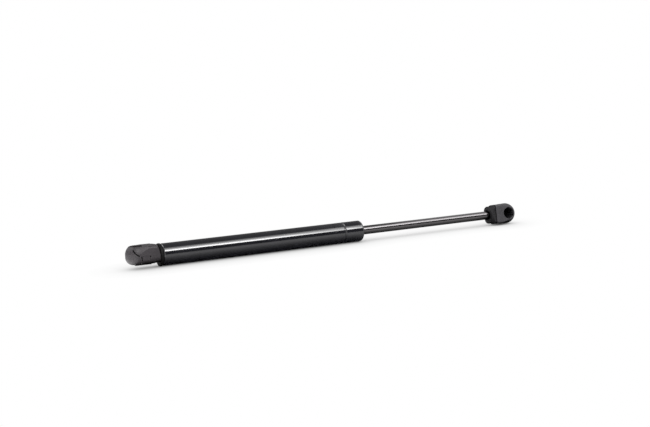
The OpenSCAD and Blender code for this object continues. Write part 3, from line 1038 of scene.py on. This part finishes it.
@dataclass
class PhotoCamera:
    """Camera at the photograph's viewing angle."""

    azimuth: float = -25.288
    elevation: float = 7.5
    roll: float = -2.841
    focal_px: float = 1138.111
    sensor: float = 36.0
    distance: float = 1.023332
    target: Triple = (0.175688, 0.0, 0.019293)
    far: float = 50.0

    def build(self) -> None:
        """Makes the camera and sets it as the scene's own."""
        side, rise = math.radians(self.azimuth), math.radians(self.elevation)
        back = Vector((math.sin(side) * math.cos(rise), -math.cos(side) * math.cos(rise),
                       math.sin(rise)))
        right = Vector((0.0, 0.0, 1.0)).cross(back).normalized()
        upward = back.cross(right)
        turn = Matrix((right, upward, back)).transposed().to_4x4()
        turn = turn @ Matrix.Rotation(math.radians(self.roll), 4, "Z")
        lens = bpy.data.cameras.new("photo_camera")
        lens.sensor_width = self.sensor
        lens.lens = self.sensor * self.focal_px / PHOTO_WIDTH
        lens.clip_end = self.far
        camera = bpy.data.objects.new("photo_camera", lens)
        camera.matrix_world = Matrix.Translation(Vector(self.target) + back * self.distance) @ turn
        bpy.context.scene.collection.objects.link(camera)
        bpy.context.scene.camera = camera


@dataclass(frozen=True)
class SoftBox:
    """One long soft light, set by its angles about the strut axis and its fade along X."""

    low: float
    high: float
    radiance: float
    fade: float


@dataclass(frozen=True)
class LightCell:
    """One stretch of the soft lights along X and its share of their radiance."""

    start: float
    end: float
    share: float


@dataclass(frozen=True)
class DarkCard:
    """A dim card seen in reflections alone, set by its angles about the strut axis and its end."""

    low: float
    high: float
    radiance: float
    end: float


@dataclass(frozen=True)
class Panel:
    """A small square light about the base end, unseen by the camera itself."""

    name: str
    place: Triple
    aim: Triple
    size: float
    radiance: float


@dataclass
class Studio:
    """Pale floor with a sweep, long soft lights, small panels and dim cards."""

    boxes: tuple[SoftBox, ...] = (
        SoftBox(36.5, 44.5, 20.0, 1.2),
        SoftBox(44.5, 53.0, 9.5, 0.8),
        SoftBox(53.0, 62.0, 3.8, 0.0),
        SoftBox(62.0, 73.0, 1.0, -1.2),
    )
    cells: tuple[LightCell, ...] = (
        LightCell(-0.2, 0.66, 1.0),
        LightCell(0.66, 0.73, 0.86),
        LightCell(0.73, 0.8, 0.7),
        LightCell(0.8, 0.88, 0.56),
        LightCell(0.88, 1.5, 0.34),
    )
    cards: tuple[DarkCard, ...] = (
        DarkCard(3.0, 37.0, 0.03, 5.0),
        DarkCard(73.0, 168.0, 0.2, 1.55),
    )
    panels: tuple[Panel, ...] = (
        Panel("rim_panel", (-0.45, 0.35, 0.6), (0.0, 0.0, 0.0), 0.5, 3.4),
        Panel("low_panel", (-0.055, -0.02, -0.0096), (-0.055, -0.02, 1.0), 0.1, 2.7),
    )
    light_distance: float = 1.2
    card_distance: float = 2.4
    card_from: float = -0.3
    card_steps: int = 33
    floor_front: float = -4.0
    floor_back: float = 1.6
    floor_half: float = 5.0
    sweep: float = 1.2
    sweep_steps: int = 25
    wall_top: float = 3.0
    floor_colour: Colour = (0.8, 0.8, 0.8)
    shade_reach: float = 0.035
    seen_shade: float = 0.65
    mirrored_shade: float = 4.0
    shade_samples: int = 16
    room: float = 0.3

    def light(self, name: str, box: SoftBox, cell: LightCell) -> None:
        """Hangs one soft light at the middle of its angles, facing the strut.

        Args:
            name: Name of the light.
            box: Its angles and radiance.
            cell: Its stretch along X.
        """
        width = self.light_distance * math.radians(box.high - box.low)
        length = cell.end - cell.start
        angle = math.radians(0.5 * (box.low + box.high))
        lamp = bpy.data.lights.new(name, "AREA")
        lamp.shape = "RECTANGLE"
        lamp.size = length
        lamp.size_y = width
        lamp.energy = cell.share ** box.fade * box.radiance * math.pi * length * width
        holder = bpy.data.objects.new(name, lamp)
        holder.location = (0.5 * (cell.start + cell.end), -self.light_distance * math.cos(angle),
                           self.light_distance * math.sin(angle))
        holder.rotation_euler = (math.radians(90.0) - angle, 0.0, 0.0)
        bpy.context.scene.collection.objects.link(holder)

    def ribbon(self, name: str, outline: np.ndarray, low: float, high: float) -> bpy.types.Object:
        """Carries an outline of y and z straight along X: point (i, j) is (x_j, y_i, z_i).

        Args:
            name: Name of the stage piece.
            outline: Rows of y and z.
            low: First x.
            high: Last x.

        Returns:
            The stage piece.
        """
        rows = len(outline)
        points = np.empty((rows, 2, 3))
        points[..., 0] = (low, high)
        points[..., 1:] = outline[:, None, :]
        row = 2 * np.arange(rows - 1)
        quads = np.stack([row, row + 1, row + 3, row + 2], axis=-1)
        piece = put_mesh(name, points.reshape(-1, 3), quads)
        return piece

    def seen_rays(self, sheet: Sheet) -> bpy.types.NodeSocket:
        """Tells what is seen apart from what only lights.

        Args:
            sheet: Sheet of the floor or the room.

        Returns:
            1 for rays from the camera, from a reflection or through glass.
        """
        path = sheet.add("ShaderNodeLightPath").outputs
        seen = sheet.math("MAXIMUM", path["Is Camera Ray"], path["Is Glossy Ray"])
        return sheet.math("MAXIMUM", seen, path["Is Transmission Ray"])

    def floor(self) -> None:
        """Lays the floor and its sweep: white where it is seen, with the strut's shadow painted into its
        glow by occlusion.
        """
        ground = CAD_BOX[0][2]
        bend = arc((self.floor_back, ground + self.sweep), self.sweep, 270, 360, self.sweep_steps)
        outline = np.concatenate([[[self.floor_front, ground]], bend,
                                  [[self.floor_back + self.sweep, self.wall_top]]])
        piece = self.ribbon("floor", outline, -self.floor_half, self.floor_half)
        material, sheet = blank_material("pale_floor")
        matt = sheet.add("ShaderNodeBsdfDiffuse")
        matt.inputs["Color"].default_value = (*self.floor_colour, 1.0)
        # Painted shadow: occlusion darkens the glow near the strut, more strongly in reflections than to
        # the camera.
        shade = sheet.add("ShaderNodeAmbientOcclusion", samples=self.shade_samples)
        shade.inputs["Distance"].default_value = self.shade_reach
        glow = sheet.add("ShaderNodeEmission")
        camera = sheet.add("ShaderNodeLightPath").outputs["Is Camera Ray"]
        power = sheet.span(camera, 0.0, 1.0, self.mirrored_shade, self.seen_shade)
        sheet.feed(sheet.math("POWER", shade.outputs["AO"], power), glow.inputs["Strength"])
        both = sheet.add("ShaderNodeMixShader")
        for place, item in enumerate((self.seen_rays(sheet), matt.outputs[0], glow.outputs[0])):
            sheet.feed(item, both.inputs[place])
        sheet.show(both.outputs[0])
        piece.data.materials.append(material)

    def card(self, number: int, card: DarkCard) -> None:
        """Stands one dim card far out, seen by reflected rays alone.

        Args:
            number: Number of the card.
            card: Its angles, radiance and end.
        """
        angle = np.radians(np.linspace(180.0 - card.low, 180.0 - card.high, self.card_steps))
        outline = self.card_distance * np.stack([np.cos(angle), np.sin(angle)], axis=-1)
        piece = self.ribbon(f"dark_card_{number}", outline, self.card_from, card.end)
        material, sheet = blank_material(piece.name)
        glow = sheet.add("ShaderNodeEmission")
        glow.inputs["Strength"].default_value = card.radiance
        sheet.show(glow.outputs[0])
        piece.data.materials.append(material)
        for kind in ("camera", "diffuse", "transmission", "shadow", "volume_scatter"):
            setattr(piece, f"visible_{kind}", False)

    def world(self) -> None:
        """Sets a dim room that shows white to the camera, to reflections and through glass."""
        world = bpy.data.worlds.new("studio_room")
        world.use_nodes = True
        sheet = Sheet(world.node_tree)
        back = world.node_tree.nodes["Background"]
        back.inputs["Color"].default_value = (1.0, 1.0, 1.0, 1.0)
        sheet.feed(sheet.span(self.seen_rays(sheet), 0.0, 1.0, self.room, 1.0), back.inputs["Strength"])
        bpy.context.scene.world = world

    def panel(self, panel: Panel) -> None:
        """Stands one panel where it is set, facing its aim.

        Args:
            panel: Its place, aim, size and radiance.
        """
        lamp = bpy.data.lights.new(panel.name, "AREA")
        lamp.size = panel.size
        lamp.energy = panel.radiance * math.pi * panel.size ** 2
        holder = bpy.data.objects.new(panel.name, lamp)
        holder.location = panel.place
        facing = Vector(panel.aim) - Vector(panel.place)
        holder.rotation_euler = facing.to_track_quat("-Z", "Y").to_euler()
        holder.visible_camera = False
        bpy.context.scene.collection.objects.link(holder)

    def build(self) -> None:
        """Sets up the floor, the lights, the cards and the room."""
        self.floor()
        for panel in self.panels:
            self.panel(panel)
        for row, box in enumerate(self.boxes):
            for column, cell in enumerate(self.cells):
                self.light(f"soft_light_{row}_{column}", box, cell)
        for number, card in enumerate(self.cards):
            self.card(number, card)
        self.world()
        bpy.context.scene.view_settings.view_transform = "Standard"


TUBE_PAINT = GlossPaint(
    "black_gloss_paint", (0.0068, 0.0068, 0.0088), 0.12, coat=0.6, specular=0.5, peel_scale=900.0,
    peel_depth=6e-7, worn=(0.045, 0.044, 0.046), scratched=0.1)
# Very dark and nearly without gloss: the plug's own black, and painted shade of the shadowed gap beside
# it.
PLUG_COAT = GlossPaint(
    "black_plug_coating", (0.003, 0.0029, 0.0031), 0.5, coat=0.0, specular=0.1, peel_scale=2600.0,
    peel_depth=3e-6, worn=(0.03, 0.029, 0.03), scratched=0.3)
SOCKET_PLASTIC = MouldedPlastic(
    "socket_black_plastic", (0.0178, 0.0145, 0.017), 0.55, grain_scale=5200.0, grain_depth=4e-6,
    edge=(0.055, 0.051, 0.055), painted_shade=(0.003, 0.0027, 0.003), specular=0.42,
    parting=(0.0, 1.0, 0.0), shade_gloss_loss=0.8)
# The rod socket is the same plastic as the base socket in a lighter copy, painted light on its lit face,
# with darker painted shade and a hub painted darker as shade.
ROD_SOCKET_PAINTED_LIGHT_PLASTIC = MouldedPlastic(
    "rod_socket_plastic_painted_light", (0.0235, 0.0222, 0.0255), 0.55, grain_scale=5200.0, grain_depth=4e-6,
    edge=(0.05, 0.047, 0.051), painted_shade=(0.002, 0.0018, 0.002), specular=0.4,
    parting=(0.0, 0.1564344650, 0.9876883406), hub_end=353.3 * MM, hub_shade=0.6, shade_gloss_loss=0.8)
GUIDE_PLASTIC = MouldedPlastic(
    "guide_plastic", (0.08, 0.08, 0.078), 0.5, grain_scale=4200.0, grain_depth=7e-6,
    edge=(0.14, 0.14, 0.135), painted_shade=(0.1, 0.095, 0.09))
RING_PLASTIC = MouldedPlastic(
    "ring_white_plastic", (0.74, 0.73, 0.69), 0.38, grain_scale=6000.0, grain_depth=4e-6,
    edge=(0.82, 0.81, 0.78), painted_shade=(0.5, 0.47, 0.42))
ROD_STEEL = LinedMetal(
    "ground_dark_steel", (0.122, 0.117, 0.12), 0.16, line_scale=9000.0, line_depth=1e-7, streak=0.12,
    tarnish=(0.108, 0.103, 0.105))
PLATED_STEEL = LinedMetal(
    "zinc_plated_steel", (0.58, 0.585, 0.58), 0.33, line_scale=7000.0, line_depth=2e-6, streak=0.3,
    tarnish=(0.5, 0.49, 0.45))
SPRING_STEEL = LinedMetal(
    "dark_spring_wire", (0.13, 0.128, 0.13), 0.34, line_scale=12000.0, line_depth=1.2e-6, streak=0.3,
    tarnish=(0.1, 0.093, 0.09))
PISTON_ALLOY = LinedMetal(
    "turned_alloy", (0.66, 0.665, 0.67), 0.3, line_scale=6000.0, line_depth=3e-6, streak=0.4,
    tarnish=(0.56, 0.56, 0.55))
RUBBER = MattRubber(
    "seal_rubber", (0.018, 0.018, 0.018), 0.68, bloom=(0.05, 0.05, 0.048), grain_depth=6e-6)
BRONZE = SinteredBronze(
    "sintered_bronze", (0.56, 0.37, 0.17), 0.42, pore=(0.1, 0.06, 0.03), pore_depth=1.2e-5)
FINISHES = {
    Slot.TUBE_PAINT: TUBE_PAINT,
    Slot.PLUG_BLACK: PLUG_COAT,
    Slot.RUBBER_BLACK: RUBBER,
    Slot.PLATED_STEEL: PLATED_STEEL,
    Slot.SOCKET_PLASTIC: SOCKET_PLASTIC,
    Slot.SPRING_STEEL: SPRING_STEEL,
    Slot.GUIDE_PLASTIC: GUIDE_PLASTIC,
    Slot.BUSH_BRONZE: BRONZE,
    Slot.RING_PLASTIC: RING_PLASTIC,
    Slot.ROD_STEEL: ROD_STEEL,
    Slot.PISTON_ALLOY: PISTON_ALLOY,
}


def main() -> None:
    """Builds the stage, the finishes and the pieces."""
    logging.basicConfig(level=logging.INFO, format="%(name)s %(message)s")
    shelf = EffectShelf()
    finishes = {slot.value: finish.make(shelf) for slot, finish in FINISHES.items()}
    PhotoCamera().build()
    Studio().build()
    # The rod socket takes its lighter painted-light copy of the socket plastic.
    FrameDress().dress(finishes, {"rod_socket": ROD_SOCKET_PAINTED_LIGHT_PLASTIC.make(shelf)})
    PressureTube().build(finishes[Slot.TUBE_PAINT.value])
    PistonRod().build(finishes[Slot.ROD_STEEL.value])
    BaseStud().build(finishes[Slot.PLATED_STEEL.value])


if __name__ == "__main__":
    main()
